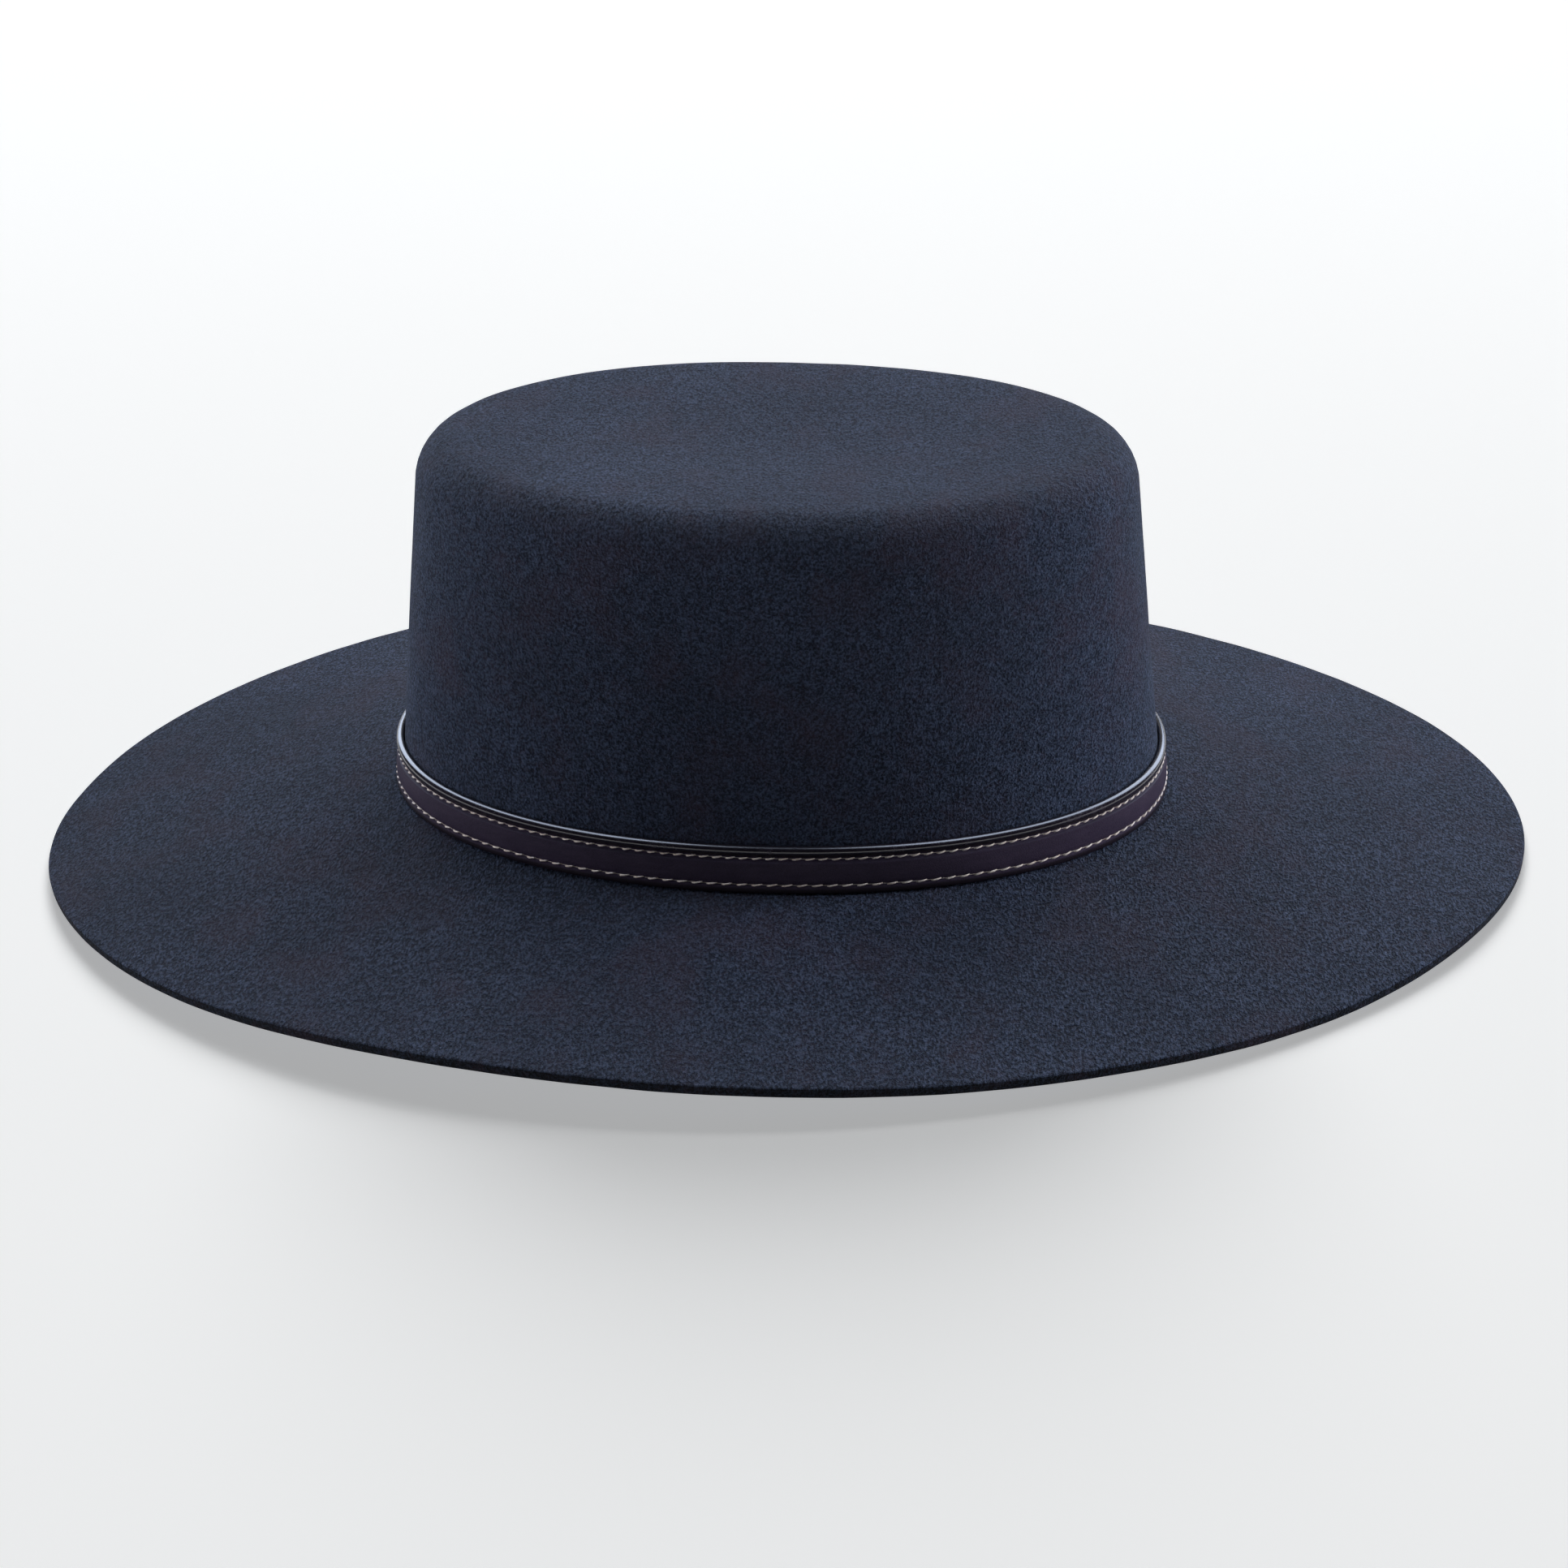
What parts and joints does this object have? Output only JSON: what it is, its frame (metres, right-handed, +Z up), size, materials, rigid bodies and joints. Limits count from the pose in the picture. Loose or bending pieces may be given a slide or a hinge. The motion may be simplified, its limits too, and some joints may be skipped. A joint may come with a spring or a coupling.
{
  "type": "wide-brim felt hat",
  "caption": "Flat-topped wide-brim felt hat, crown and brim blocked in one piece, with a narrow stitched leather band.",
  "frame": {"origin": "on the surface that the hat rests on, below the middle of its box", "axes": "+Z up, +X towards the front of the hat, +Y towards the wearer's left"},
  "size_m": [0.3934, 0.3476, 0.1142],
  "materials": {
    "felt": "matte brushed wool felt",
    "band_leather": "satin"
  },
  "bodies": {
    "root": {"felt_body": "felt", "leather_band": "band_leather"}
  },
  "joints": []
}
